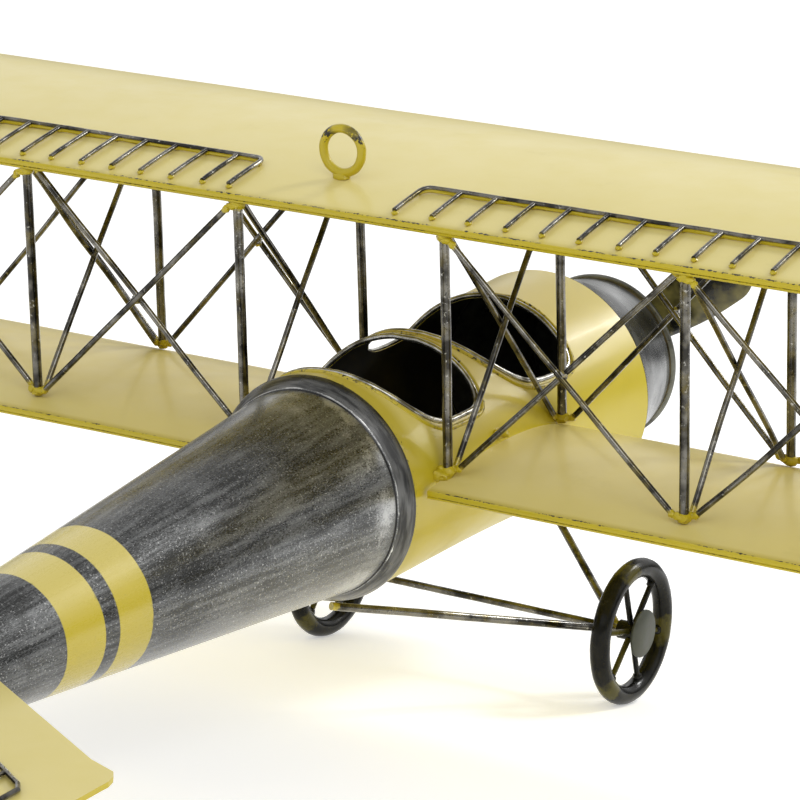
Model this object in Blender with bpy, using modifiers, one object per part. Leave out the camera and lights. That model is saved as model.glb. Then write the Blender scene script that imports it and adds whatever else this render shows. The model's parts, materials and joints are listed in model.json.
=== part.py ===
"""Sheet-metal biplane model: two cambered wings on wire-braced struts, a round body with two
cockpits and a long tail cone, an engine with a propeller that spins, and two wheels that roll.

Units are metres.  The aircraft is drawn in its own level frame: X across the span, +Y aft,
+Z up, with the body's axis at x = 0, z = 0 and the rear strut row's feet at y = 0.  The empty
"airframe" then tips it nose-up, so that it stands on its wheels and tail skid at z = 0.
"""
import math

import bmesh
import bpy
from mathutils import Vector

# ---------------------------------------------------------------- driving dimensions
GAP = 0.0003                     # clearance between pieces that touch on the real object

STANCE = math.radians(9.8)       # nose-up angle when it stands on its wheels and skid
REST_Y = -0.06983                # puts the middle of the standing aircraft's length at y = 0

BAY = 0.105                      # spacing of the struts along each wing
STRUT_X = (0.0482, 0.0482 + BAY, 0.0482 + 2 * BAY)
STRUT_R = 0.0020
REAR_FOOT_Y, REAR_TOP_Y = 0.0, 0.0035
FRONT_FOOT_Y, FRONT_TOP_Y = -0.0900, -0.0850
WIRE_R = 0.00125

BODY_R = 0.0458
BODY_WALL = 0.0014
BODY_FRONT, BODY_REAR = -0.1590, 0.0207
BODY_FLARE, FLARE_POWER = 0.0051, 3.9    # the body widens towards its front end
NOSE_Z = -0.0040                 # height of the nose's axis: the flare is mostly downwards
CONE_FRONT_R, CONE_TAPER = 0.0422, 0.0962
SEAM_Y, CONE_END = 0.0280, 0.3450
COWL_R, LIP_R = 0.0506, 0.0372

SHEET = 0.0016                   # wing sheet
HEM_DEPTH, HEM_WIDTH = 0.0034, 0.0040
# Bezier camber lines of the sheet's top, trailing edge first: (y, z)
UPPER_CAMBER = ((0.0065, 0.1101), (-0.040, 0.1210), (-0.118, 0.1275), (-0.154, 0.1075))
LOWER_CAMBER = ((0.0147, 0.0056), (-0.020, 0.0105), (-0.068, 0.0145), (-0.098, 0.0020))
UPPER_HALF_SPAN, LOWER_HALF_SPAN = 0.2970, 0.2890
UPPER_CORNER, LOWER_CORNER = 0.034, 0.028
LOWER_ROOT = 0.0476

WHEEL_X, WHEEL_Y, WHEEL_Z = 0.0752, -0.1037, -0.0853
TYRE_R, TYRE_SECTION = 0.0277, 0.0036
AXLE_R, HUB_BORE_R, HUB_R = 0.0016, 0.0017, 0.0040
SPOKES, SPOKE_R = 6, 0.0011
LEG_R = 0.0017

PROP_Y, PROP_LENGTH = -0.2245, 0.0800
PROP_ANGLE, BLADE_PITCH = math.radians(38.5), math.radians(20)
BLADE_SHEET, BLADE_ROOT, BLADE_BELLY = 0.0022, 0.0050, 0.0087
SHAFT_R, PROP_BORE_R = 0.0022, 0.0023
CYLINDERS, CYLINDER_R, CYLINDER_Y = 7, 0.0037, -0.2145
FIRST_CYLINDER = math.radians(158)

RAIL_R, RUNG_R, GRILLE_LIFT = 0.0010, 0.0009, 0.0009
AILERON_END_Y, RUNG_END_Y = 0.0022, 0.0012
# rail's place, inner end, first rung, rung spacing: the two hand-made grilles differ
AILERON_LEFT = (-0.0240, 0.0534, 0.0664, 0.0150)
AILERON_RIGHT = (-0.0207, 0.0247, 0.0415, 0.0163)
AILERON_RUNGS = 13

RING_X, RING_Y, RING_R, RING_WIRE_R = 0.0142, -0.0210, 0.0090, 0.0018
TAIL_SHEET = 0.0020
TAIL_SPAN, TAIL_LE_ROOT, TAIL_TE, TAIL_NOTCH = 0.107, 0.2535, 0.3580, 0.3380
TAIL_SWEEP = 0.59
SKID_R, SKID_FRONT, SKID_RUN = 0.0015, 0.3190, 0.0090

TYRE_OUTER = TYRE_R + TYRE_SECTION
REST_Z = TYRE_OUTER - (math.cos(STANCE) * WHEEL_Z - math.sin(STANCE) * WHEEL_Y)

# ---------------------------------------------------------------- scene set-up
for old in list(bpy.data.objects):
    bpy.data.objects.remove(old, do_unlink=True)
PARTS = bpy.data.collections.new("propeller_plane_model")
CUTTERS = bpy.data.collections.new("cutters")
bpy.context.scene.collection.children.link(PARTS)
bpy.context.scene.collection.children.link(CUTTERS)

airframe = bpy.data.objects.new("airframe", None)
airframe.location = (0, REST_Y, REST_Z)
airframe.rotation_euler = (-STANCE, 0, 0)
PARTS.objects.link(airframe)


def material(name, colour, roughness, metallic):
    mat = bpy.data.materials.new(name)
    mat.use_nodes = True
    shader = mat.node_tree.nodes["Principled BSDF"]
    shader.inputs["Base Color"].default_value = (*colour, 1)
    shader.inputs["Roughness"].default_value = roughness
    shader.inputs["Metallic"].default_value = metallic
    return mat


YELLOW = material("yellow_paint", (0.72, 0.60, 0.26), 0.45, 0.0)
WIRE = material("dark_wire", (0.16, 0.15, 0.13), 0.40, 0.9)
GUNMETAL = material("brushed_gunmetal", (0.22, 0.22, 0.21), 0.35, 0.9)
WHEEL_METAL = material("wheel_metal", (0.13, 0.13, 0.12), 0.45, 0.8)
PROP_PAINT = material("propeller_paint", (0.24, 0.24, 0.12), 0.35, 0.3)


# ---------------------------------------------------------------- helpers
def place(obj, mat, cutter=False):
    """Puts an object in the right collection, under the airframe, with its material."""
    for coll in list(obj.users_collection):
        coll.objects.unlink(obj)
    obj.parent = airframe
    if cutter:
        CUTTERS.objects.link(obj)
        obj.hide_render = True
        obj.display_type = "WIRE"
        return obj
    PARTS.objects.link(obj)
    obj.data.materials.clear()
    obj.data.materials.append(mat)
    return obj


def smooth(obj):
    obj.data.shade_smooth()
    obj.data.set_sharp_from_angle(angle=math.radians(40))
    return obj


def rod(name, start, end, radius, mat, sides=8, cutter=False):
    """A straight round rod between two points."""
    start, end = Vector(start), Vector(end)
    bpy.ops.mesh.primitive_cylinder_add(vertices=sides, radius=radius, depth=(end - start).length)
    obj = bpy.context.object
    obj.name = name
    obj.location = (start + end) / 2
    obj.rotation_mode = "QUATERNION"
    obj.rotation_quaternion = (end - start).to_track_quat("Z", "Y")
    return smooth(place(obj, mat, cutter))


def turned(name, profile, mat, steps=48, direction="Y", location=(0, 0, 0)):
    """A turned piece: a closed profile of (radius, height) points, outer side from high to low."""
    mesh = bpy.data.meshes.new(name)
    points = [(r, 0, z) for r, z in profile]
    on_axis = profile[0][0] == 0
    last = len(points) - (1 if on_axis else 0)
    mesh.from_pydata(points, [(i, (i + 1) % len(points)) for i in range(last)], [])
    obj = bpy.data.objects.new(name, mesh)
    place(obj, mat)
    obj.location = location
    obj.rotation_euler = {"Y": (-math.pi / 2, 0, 0), "X": (0, math.pi / 2, 0),
                          "-X": (0, -math.pi / 2, 0)}[direction]
    screw = obj.modifiers.new("turn", "SCREW")
    screw.steps = screw.render_steps = steps
    screw.use_merge_vertices = True
    screw.merge_threshold = 0.00001
    screw.use_smooth_shade = False
    return obj


def outline_plate(name, points, thickness, mat, cutter=False):
    """A flat plate: a filled 2D outline in its own XY plane."""
    curve = bpy.data.curves.new(name, "CURVE")
    curve.dimensions = "2D"
    curve.fill_mode = "BOTH"
    curve.extrude = thickness / 2
    spline = curve.splines.new("POLY")
    spline.points.add(len(points) - 1)
    for point, (x, y) in zip(spline.points, points):
        point.co = (x, y, 0, 1)
    spline.use_cyclic_u = True
    return place(bpy.data.objects.new(name, curve), mat, cutter)


def as_mesh(obj, mat, cutter=False):
    """Replaces a curve object by its welded mesh, so that it can be cut or joined."""
    bpy.context.view_layer.update()
    evaluated = obj.evaluated_get(bpy.context.evaluated_depsgraph_get())
    mesh = bpy.data.meshes.new_from_object(evaluated)
    work = bmesh.new()
    work.from_mesh(mesh)
    bmesh.ops.remove_doubles(work, verts=work.verts, dist=0.00001)
    bmesh.ops.recalc_face_normals(work, faces=work.faces)
    work.to_mesh(mesh)
    work.free()
    name, place_in_frame = obj.name, obj.matrix_basis.copy()
    bpy.data.objects.remove(obj, do_unlink=True)
    solid = bpy.data.objects.new(name, mesh)
    solid.matrix_basis = place_in_frame
    return place(solid, mat, cutter)


def boolean(obj, other, operation):
    modifier = obj.modifiers.new(other.name, "BOOLEAN")
    modifier.operation = operation
    modifier.object = other
    return obj


def wire_path(name, points, radius, mat, cyclic=False, resolution=2):
    """A bent wire: a poly curve with a round section and filled caps."""
    curve = bpy.data.curves.new(name, "CURVE")
    curve.dimensions = "3D"
    curve.bevel_depth = radius
    curve.bevel_resolution = resolution
    curve.use_fill_caps = True
    spline = curve.splines.new("POLY")
    spline.points.add(len(points) - 1)
    for point, co in zip(spline.points, points):
        point.co = (*co, 1)
    spline.use_cyclic_u = cyclic
    return place(bpy.data.objects.new(name, curve), mat)


def arc(centre, radius, start, end, steps):
    """Points on an arc, in degrees, both ends included."""
    angles = [math.radians(start + (end - start) * i / steps) for i in range(steps + 1)]
    return [(centre[0] + radius * math.cos(a), centre[1] + radius * math.sin(a)) for a in angles]


# ---------------------------------------------------------------- wings
def camber_point(camber, t):
    weights = ((1 - t) ** 3, 3 * (1 - t) ** 2 * t, 3 * (1 - t) * t * t, t ** 3)
    return tuple(sum(w * p[k] for w, p in zip(weights, camber)) for k in (0, 1))


def camber_height(camber, y):
    """Height of the sheet's top at a place along the chord."""
    low, high = 0.0, 1.0
    for _ in range(40):
        middle = (low + high) / 2
        if camber_point(camber, middle)[0] > y:
            low = middle
        else:
            high = middle
    return camber_point(camber, low)[1]


def underside(camber, y):
    """Height of the sheet's underside, with the deeper hem along the trailing edge."""
    depth = HEM_DEPTH if y > camber[0][0] - HEM_WIDTH else SHEET
    return camber_height(camber, y) - depth


def spread(start, end, count):
    """Places from start to end, closer together near both ends."""
    return [start + (end - start) * (1 - math.cos(math.pi * i / (count - 1))) / 2 for i in range(count)]


def section(camber, y_te, y_le):
    """One closed chordwise section: the top from trailing to leading edge, then the underside."""
    hem = y_te - HEM_WIDTH
    top = [(y, camber_height(camber, y)) for y in spread(y_te, y_le, 15)]
    under = [(y, camber_height(camber, y) - SHEET) for y in spread(y_le, hem - 0.0004, 12)]
    lip = [(y, camber_height(camber, y) - HEM_DEPTH) for y in (hem, y_te)]
    return top + under + lip


def wing(name, camber, root, tip, corner, side=1):
    """A cambered sheet lofted along the span, its outer corners rounded in plan.

    With root None the sheet runs from tip to tip; otherwise it is one panel on one side."""
    y_te, y_le = camber[0][0], camber[3][0]
    steps = 6
    angles = [math.pi / 2 * i / steps for i in range(steps + 1)]
    outer = [(tip - corner + corner * math.sin(a), corner * (1 - math.cos(a))) for a in angles]
    inner = [(-x, inset) for x, inset in reversed(outer)] if root is None else [(root, 0)]
    work = bmesh.new()
    rings = []
    for x, inset in inner + outer:
        outline = section(camber, y_te - inset, y_le + inset)
        rings.append([work.verts.new((side * x, y, z)) for y, z in outline])
    for a, b in zip(rings, rings[1:]):
        for i in range(len(a)):
            j = (i + 1) % len(a)
            work.faces.new((a[i], a[j], b[j], b[i]))
    work.faces.new(rings[0])
    work.faces.new(rings[-1])
    bmesh.ops.recalc_face_normals(work, faces=work.faces)
    mesh = bpy.data.meshes.new(name)
    work.to_mesh(mesh)
    work.free()
    return smooth(place(bpy.data.objects.new(name, mesh), YELLOW))


def aileron_grille(name, side, rail_y, inner, first, spacing):
    """A ladder of wire on the upper wing: a rail, two end bars down to the hem, and rungs."""
    def on_wing(x, y):
        return (side * x, y, camber_height(UPPER_CAMBER, y) + RAIL_R + GRILLE_LIFT)

    outer, bend = first + AILERON_RUNGS * spacing, 0.004
    end_bar = [AILERON_END_Y, -0.007, -0.014, rail_y + bend]
    path = [on_wing(inner, y) for y in end_bar]
    path += [on_wing(x, y) for x, y in arc((inner + bend, rail_y + bend), bend, 195, 255, 3)]
    path += [on_wing(inner + bend, rail_y), on_wing(outer - bend, rail_y)]
    path += [on_wing(x, y) for x, y in arc((outer - bend, rail_y + bend), bend, 285, 345, 3)]
    path += [on_wing(outer, y) for y in reversed(end_bar)]
    grille = as_mesh(wire_path(name, path, RAIL_R, WIRE), WIRE)
    for i in range(AILERON_RUNGS):
        x = first + i * spacing
        rung = rod(name + "_rung", on_wing(x, rail_y), on_wing(x, RUNG_END_Y), RUNG_R, WIRE, 6, True)
        boolean(grille, rung, "UNION")
    return grille


wing("upper_wing", UPPER_CAMBER, None, UPPER_HALF_SPAN, UPPER_CORNER)
wing("lower_wing_left", LOWER_CAMBER, LOWER_ROOT, LOWER_HALF_SPAN, LOWER_CORNER, 1)
wing("lower_wing_right", LOWER_CAMBER, LOWER_ROOT, LOWER_HALF_SPAN, LOWER_CORNER, -1)
aileron_grille("aileron_grille_left", 1, *AILERON_LEFT)
aileron_grille("aileron_grille_right", -1, *AILERON_RIGHT)

bpy.ops.mesh.primitive_torus_add(major_segments=24, minor_segments=8,
                                 major_radius=RING_R, minor_radius=RING_WIRE_R)
ring = bpy.context.object
ring.name = "hanging_ring"
ring.location = (RING_X, RING_Y,
                 camber_height(UPPER_CAMBER, RING_Y) + RING_R + RING_WIRE_R + 2 * GAP)
ring.rotation_euler = (math.pi / 2, 0, 0)
smooth(place(ring, YELLOW))


# ---------------------------------------------------------------- struts and bracing wires
def footprint(edge, camber, y, pick):
    """Where a strut's end clears the sheet over its whole width."""
    return pick(edge(camber, y - STRUT_R), edge(camber, y + STRUT_R))


def strut_ends(row):
    """Foot and top of a strut of the rear or front row, as (y, z) pairs."""
    foot_y, top_y = (REAR_FOOT_Y, REAR_TOP_Y) if row == "rear" else (FRONT_FOOT_Y, FRONT_TOP_Y)
    foot_z = footprint(camber_height, LOWER_CAMBER, foot_y, max) + GAP
    top_z = footprint(underside, UPPER_CAMBER, top_y, min) - GAP
    return (foot_y, foot_z), (top_y, top_z)


def wire_end(x, row, level, toward_x, toward_y):
    """A wire's end close to a strut's end, moved clear of the strut and of its crossing wire."""
    foot, top = strut_ends(row)
    y = (foot if level == "low" else top)[0] + toward_y
    if level == "low":
        return (x + toward_x, y, camber_height(LOWER_CAMBER, y) + 2.2 * WIRE_R)
    return (x + toward_x, y, underside(UPPER_CAMBER, y) - 2.2 * WIRE_R)


BESIDE = STRUT_R + WIRE_R + GAP      # wire's axis beside a strut's
ACROSS = WIRE_R + GAP / 2            # half the distance between two crossing wires

for side, side_name in ((1, "left"), (-1, "right")):
    for row in ("rear", "front"):
        (foot_y, foot_z), (top_y, top_z) = strut_ends(row)
        for number, x in enumerate(STRUT_X, 1):
            rod(f"strut_{row}_{side_name}_{number}", (side * x, foot_y, foot_z),
                (side * x, top_y, top_z), STRUT_R, WIRE, 10)
        for bay, (x_in, x_out) in enumerate(zip(STRUT_X, STRUT_X[1:]), 1):
            x_in, x_out = x_in + BESIDE, x_out - BESIDE
            rod(f"wire_{row}_{side_name}_{bay}a", wire_end(side * x_in, row, "high", 0, ACROSS),
                wire_end(side * x_out, row, "low", 0, ACROSS), WIRE_R, WIRE)
            rod(f"wire_{row}_{side_name}_{bay}b", wire_end(side * x_in, row, "low", 0, -ACROSS),
                wire_end(side * x_out, row, "high", 0, -ACROSS), WIRE_R, WIRE)
    for number, x in enumerate(STRUT_X[:2], 1):
        rod(f"wire_side_{side_name}_{number}a", wire_end(side * x, "rear", "high", ACROSS, -BESIDE),
            wire_end(side * x, "front", "low", ACROSS, BESIDE), WIRE_R, WIRE)
        rod(f"wire_side_{side_name}_{number}b", wire_end(side * x, "rear", "low", -ACROSS, -BESIDE),
            wire_end(side * x, "front", "high", -ACROSS, BESIDE), WIRE_R, WIRE)


# ---------------------------------------------------------------- body, tail cone and cowl
def cockpit_cutter(name, front, lowest, rear, floor, front_power, rear_power):
    """A side-view outline cut right across the body: steep in front, a longer slope behind."""
    top = BODY_R + 0.0012
    outline = []
    for end, power, shares in ((front, front_power, (1, 0.96, 0.9, 0.8, 0.65, 0.4)),
                               (rear, rear_power, (0, 0.3, 0.5, 0.65, 0.8, 0.9, 1))):
        for share in shares:
            outline.append((lowest + (end - lowest) * share, floor + (top - floor) * share ** power))
    outline += [(rear + 0.002, BODY_R + 0.02), (front - 0.001, BODY_R + 0.02)]
    plate = outline_plate(name, outline, 3 * BODY_R, YELLOW, True)
    plate.rotation_euler = (math.pi / 2, 0, math.pi / 2)
    return as_mesh(plate, YELLOW, True)


def flare(y):
    """How far the body's radius has grown at y."""
    return BODY_FLARE * max(0, (SEAM_Y - 0.013 - y) / (SEAM_Y - 0.013 - BODY_FRONT)) ** FLARE_POWER


def body_ring(y, inset):
    """Centre height and radius of the body's skin at y."""
    return NOSE_Z * flare(y) / BODY_FLARE, BODY_R + flare(y) - inset


def body_shell(name):
    """The body: a round sheet tube, open at both ends, that flares towards the nose."""
    stations = [BODY_REAR + (BODY_FRONT - BODY_REAR) * i / 9 for i in range(10)]
    sides = 48
    work = bmesh.new()
    rings = []
    for y, inset in [(y, 0) for y in stations] + [(y, BODY_WALL) for y in reversed(stations)]:
        centre, radius = body_ring(y, inset)
        angles = [2 * math.pi * k / sides for k in range(sides)]
        rings.append([work.verts.new((radius * math.sin(a), y, centre + radius * math.cos(a))) for a in angles])
    for a, b in zip(rings, rings[1:] + rings[:1]):
        for k in range(sides):
            j = (k + 1) % sides
            work.faces.new((a[k], a[j], b[j], b[k]))
    bmesh.ops.recalc_face_normals(work, faces=work.faces)
    mesh = bpy.data.meshes.new(name)
    work.to_mesh(mesh)
    work.free()
    return place(bpy.data.objects.new(name, mesh), YELLOW)


body = body_shell("fuselage_body")
boolean(body, cockpit_cutter("rear_cockpit_cut", -0.0460, -0.0250, 0.0110, 0.0244, 7, 3), "DIFFERENCE")
boolean(body, cockpit_cutter("front_cockpit_cut", -0.1165, -0.0980, -0.0530, 0.0232, 6, 3), "DIFFERENCE")


def cone_radius(y):
    return CONE_FRONT_R - CONE_TAPER * (y - SEAM_Y)


cone = turned("tail_cone", [
    (0, CONE_END + 0.0030), (0.0070, CONE_END + 0.0022), (0.0105, CONE_END + 0.0005),
    (cone_radius(CONE_END), CONE_END - 0.0020), (CONE_FRONT_R, SEAM_Y), (0.0442, 0.0258),
    (0.0459, 0.0232), (0.0466, 0.0210), (0.0450, 0.0210), (0.0443, 0.0225), (0.0426, 0.0250),
    (CONE_FRONT_R - 0.0015, SEAM_Y + 0.0005), (cone_radius(CONE_END) - 0.0015, CONE_END - 0.0030),
    (0, CONE_END)], GUNMETAL)
slot_length = TAIL_NOTCH - TAIL_LE_ROOT + 2 * GAP
bpy.ops.mesh.primitive_cube_add(size=1)
slot = bpy.context.object
slot.name = "tailplane_slot"
slot.scale = (0.06, slot_length, TAIL_SHEET + 2 * GAP)
slot.location = (0, (TAIL_NOTCH + TAIL_LE_ROOT) / 2, 0)
boolean(cone, place(slot, GUNMETAL, True), "DIFFERENCE")

turned("engine_cowl", [
    (COWL_R, -0.1593), (0.0470, -0.1680), (0.0425, -0.1800), (0.0390, -0.1920), (0.0370, -0.2010),
    (0.0362, -0.2035), (0.0362, -0.2055), (LIP_R, -0.2070), (LIP_R, -0.2095), (0.0360, -0.2105),
    (0.0120, -0.2105), (0.0120, -0.2090), (0.0345, -0.2090), (0.0346, -0.2035), (0.0354, -0.2010),
    (0.0374, -0.1920), (0.0409, -0.1800), (0.0454, -0.1680), (0.0488, -0.1593)],
    GUNMETAL, 48, "Y", (0, 0, NOSE_Z))


# ---------------------------------------------------------------- engine and propeller
engine = turned("radial_engine", [(0, -0.2060), (0.0116, -0.2060), (0.0116, -0.2108), (0.0140, -0.2108),
                                  (0.0140, -0.2180), (0.0110, -0.2192), (0, -0.2192)],
                GUNMETAL, 24, "Y", (0, 0, NOSE_Z))
for i in range(CYLINDERS):
    angle = FIRST_CYLINDER + 2 * math.pi * i / CYLINDERS
    ends = [(r * math.cos(angle), CYLINDER_Y, NOSE_Z + r * math.sin(angle)) for r in (0.0100, 0.0325)]
    boolean(engine, rod("cylinder", *ends, CYLINDER_R, GUNMETAL, 10, True), "UNION")

turned("propeller_shaft", [(0, -0.2196), (SHAFT_R, -0.2196), (SHAFT_R, -0.2288), (0.0045, -0.2288),
                           (0.0045, -0.2313), (0.0030, -0.2326), (0, -0.2326)],
       GUNMETAL, 16, "Y", (0, 0, NOSE_Z))


def blade_outline():
    """Half widths along the blade, mirrored about its axis."""
    start, tip_share = 0.0040, 0.82
    edge = []
    for i in range(17):
        share = math.sin(math.pi / 2 * i / 16)
        half = BLADE_ROOT + BLADE_BELLY * math.sin(math.pi / 2 * min(share / 0.7, 1))
        if share > tip_share:
            half *= math.sqrt(max(0, 1 - ((share - tip_share) / (1 - tip_share)) ** 2))
        edge.append((start + (PROP_LENGTH - start) * share, half))
    return edge[:-1] + [(PROP_LENGTH, 0)] + [(x, -half) for x, half in reversed(edge[:-1])]


propeller = turned("propeller", [(0.0085, 0.0038), (0.0085, -0.0038), (PROP_BORE_R, -0.0038),
                                 (PROP_BORE_R, 0.0038)], PROP_PAINT, 24, "Y", (0, PROP_Y, NOSE_Z))
for turn in (0, math.pi):
    blade = outline_plate("blade", blade_outline(), BLADE_SHEET, PROP_PAINT, True)
    blade.location = (0, PROP_Y, NOSE_Z)
    blade.rotation_euler = (math.pi / 2 + BLADE_PITCH, PROP_ANGLE + turn, 0)
    boolean(propeller, as_mesh(blade, PROP_PAINT, True), "UNION")


# ---------------------------------------------------------------- undercarriage
def wheel(name, side):
    """Tyre ring, wire spokes, and a hub with a blind bore behind a flat cap."""
    centre = Vector((side * WHEEL_X, WHEEL_Y, WHEEL_Z))
    hub = turned(name, [(0, 0.0060), (0.0102, 0.0060), (0.0102, 0.0048), (HUB_R, 0.0048),
                        (HUB_R, -0.0055), (HUB_BORE_R, -0.0055), (HUB_BORE_R, 0.0034), (0, 0.0034)],
                 WHEEL_METAL, 24, "X" if side > 0 else "-X", centre)
    bpy.ops.mesh.primitive_torus_add(major_segments=36, minor_segments=8,
                                     major_radius=TYRE_R, minor_radius=TYRE_SECTION)
    tyre = bpy.context.object
    tyre.name = "tyre"
    tyre.location = centre
    tyre.rotation_euler = (0, math.pi / 2, 0)
    boolean(hub, place(tyre, WHEEL_METAL, True), "UNION")
    for i in range(SPOKES):
        angle = 2 * math.pi * (i + 0.25) / SPOKES
        ends = [centre + Vector((0, r * math.cos(angle), r * math.sin(angle))) for r in (0.0030, TYRE_R)]
        boolean(hub, rod("spoke", *ends, SPOKE_R, WHEEL_METAL, 6, True), "UNION")
    return hub


for side, side_name in ((1, "left"), (-1, "right")):
    wheel(f"wheel_{side_name}", side)
    beside_axle = AXLE_R + LEG_R + GAP + 0.0002
    rod(f"leg_front_{side_name}", (side * 0.0165, -0.1380, -0.0520),
        (side * 0.0655, WHEEL_Y - beside_axle, WHEEL_Z + 0.0005), LEG_R, WIRE, 10)
    rod(f"leg_rear_{side_name}", (side * 0.0060, 0.0200, -0.0488),
        (side * 0.0655, WHEEL_Y + beside_axle, WHEEL_Z + 0.0005), LEG_R, WIRE, 10)
rod("cross_axle", (-WHEEL_X - 0.0029, WHEEL_Y, WHEEL_Z), (WHEEL_X + 0.0029, WHEEL_Y, WHEEL_Z),
    AXLE_R, WIRE, 12)


# ---------------------------------------------------------------- tail
def tailplane_half():
    """The left half's edge in plan, from the root's front to the notch for the rudder."""
    le_end = TAIL_LE_ROOT + TAIL_SWEEP * 0.068
    edge = [(0.0215, TAIL_LE_ROOT), (0.0910, le_end)]
    edge += arc((0.0930, le_end + 0.0140), 0.0140, -60, 10, 4)[1:]
    edge += arc((TAIL_SPAN - 0.012, TAIL_TE - 0.012), 0.012, 0, 90, 4)
    return edge + [(0.0140, TAIL_TE), (0.0140, TAIL_NOTCH)]


half = tailplane_half()
outline_plate("tailplane", half + [(-x, y) for x, y in reversed(half)], TAIL_SHEET, YELLOW)


def elevator_grille(name, side):
    """The tailplane's ladder: a swept rail, an outer end bar and rungs towards the rear edge."""
    height = TAIL_SHEET / 2 + RAIL_R + GAP
    inner, outer, rear = 0.0260, 0.0880, 0.3500

    def rail_y(x):
        return 0.2880 + 0.63 * (x - inner)

    path = [(side * x, y, height) for x, y in (
        (inner, rear), (inner, rail_y(inner)), (outer - 0.003, rail_y(outer - 0.003)),
        (outer, rail_y(outer) + 0.002), (outer, rear))]
    grille = as_mesh(wire_path(name, path, RAIL_R, WIRE), WIRE)
    for i in range(1, 5):
        x = inner + (outer - inner) * i / 5
        rung = rod("rung", (side * x, rail_y(x), height), (side * x, rear, height), RUNG_R, WIRE, 6, True)
        boolean(grille, rung, "UNION")


for side, side_name in ((1, "left"), (-1, "right")):
    elevator_grille(f"elevator_grille_{side_name}", side)

fin_outline = [(0.2850, cone_radius(0.2850) + 2 * GAP), (0.3080, 0.0480)]
fin_outline += arc((0.3330, 0.0420), 0.0230, 150, 60, 5) + arc((0.3420, 0.0250), 0.0300, 40, -10, 4)
fin_outline += [(0.3690, 0.0000), (0.3600, -0.0110), (CONE_END + 0.0040, -0.0125),
                (CONE_END + 0.0040, 0.0095), (CONE_END - 0.0020, cone_radius(CONE_END - 0.0020) + 2 * GAP)]
fin = outline_plate("fin_and_rudder", fin_outline, TAIL_SHEET, YELLOW)
fin.rotation_euler = (math.pi / 2, 0, math.pi / 2)


def on_ground(y):
    """Height in the level frame at which the skid's wire touches the ground."""
    return (SKID_R - REST_Z + y * math.sin(STANCE)) / math.cos(STANCE)


skid_end = SKID_FRONT + SKID_RUN
wire_path("tail_skid", [(0, 0.3000, -cone_radius(0.3000) - SKID_R - 2 * GAP),
                        (0, SKID_FRONT - 0.002, on_ground(SKID_FRONT) + 0.0015),
                        (0, SKID_FRONT, on_ground(SKID_FRONT)), (0, skid_end, on_ground(skid_end)),
                        (0, skid_end + 0.004, on_ground(skid_end) + 0.003)], SKID_R, WIRE)

bpy.context.view_layer.update()
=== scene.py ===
"""The looks of the sheet-metal biplane model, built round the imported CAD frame.

Pieces are drawn in the aircraft's own level frame, in metres: X across the span, +Y aft, +Z up,
zero on the body's axis at the rear strut row.  LEVEL carries that frame to where the model stands.
"""
import json
import math

import bmesh
import bpy
import numpy as np
from mathutils import Matrix, Vector, noise


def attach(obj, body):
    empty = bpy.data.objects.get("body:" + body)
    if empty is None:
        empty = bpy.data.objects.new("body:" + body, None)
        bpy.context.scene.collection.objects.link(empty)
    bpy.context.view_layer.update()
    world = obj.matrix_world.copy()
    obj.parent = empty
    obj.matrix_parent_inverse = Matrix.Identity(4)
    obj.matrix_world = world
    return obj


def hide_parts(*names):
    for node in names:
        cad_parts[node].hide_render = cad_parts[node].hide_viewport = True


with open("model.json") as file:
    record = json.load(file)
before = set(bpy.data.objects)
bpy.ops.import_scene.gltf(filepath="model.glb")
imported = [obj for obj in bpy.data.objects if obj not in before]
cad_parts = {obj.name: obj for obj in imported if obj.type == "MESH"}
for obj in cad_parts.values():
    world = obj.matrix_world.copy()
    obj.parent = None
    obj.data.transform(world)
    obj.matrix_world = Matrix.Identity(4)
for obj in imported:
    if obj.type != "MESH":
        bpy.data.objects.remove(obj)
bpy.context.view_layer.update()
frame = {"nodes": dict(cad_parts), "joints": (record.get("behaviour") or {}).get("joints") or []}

# ---------------------------------------------------------------- the level frame
PROP_Y, NOSE_Z = -0.2245, -0.0040
spin = next(joint for joint in frame["joints"] if joint["name"] == "propeller_spin")
forward = Vector(spin["axis"])
STANCE = math.atan2(forward.z, -forward.y)
TIP = Matrix.Rotation(-STANCE, 4, "X")
LEVEL = Matrix.Translation(Vector(spin["pos_m"]) - TIP @ Vector((0, PROP_Y, NOSE_Z))) @ TIP
TO_LEVEL = LEVEL.inverted()

# dimensions shared with the CAD
UPPER_CAMBER = ((0.0065, 0.1101), (-0.040, 0.1210), (-0.118, 0.1275), (-0.154, 0.1075))
LOWER_CAMBER = ((0.0147, 0.0056), (-0.020, 0.0105), (-0.068, 0.0145), (-0.098, 0.0020))
UPPER_HALF_SPAN, LOWER_HALF_SPAN = 0.2970, 0.2890
UPPER_CORNER, LOWER_CORNER = 0.034, 0.028
SHEET, HEM_DEPTH, HEM_WIDTH = 0.0016, 0.0034, 0.0040
STRUT_X = (0.0482, 0.1532, 0.2582)
BODY_R, BODY_WALL = 0.0458, 0.0014
BODY_FRONT, BODY_REAR = -0.1590, 0.0207
BODY_FLARE, FLARE_POWER = 0.0051, 3.9
SEAM_Y, CONE_FRONT_R, CONE_TAPER, CONE_END = 0.0280, 0.0422, 0.0962, 0.3450
WHEEL = Vector((0.0752, -0.1037, -0.0853))
TYRE_R, TYRE_SECTION = 0.0271, 0.0042
RING = Vector((0.0142, -0.0210, 0.12679))
RING_R, RING_WIRE_R = 0.0090, 0.0018
PROP_LENGTH, PROP_ANGLE = 0.0800, math.radians(38.5)
LOWER_ROOT = 0.0476
STRUT_R, WIRE_R, LEG_R, AXLE_R = 0.0020, 0.00125, 0.0017, 0.0016
RUNGS, SPOKES, CYLINDERS = 13, 6, 7
FIRST_CYLINDER, CYLINDER_Y = math.radians(158), -0.2145
SHARP_ANGLE = math.radians(40)


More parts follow.
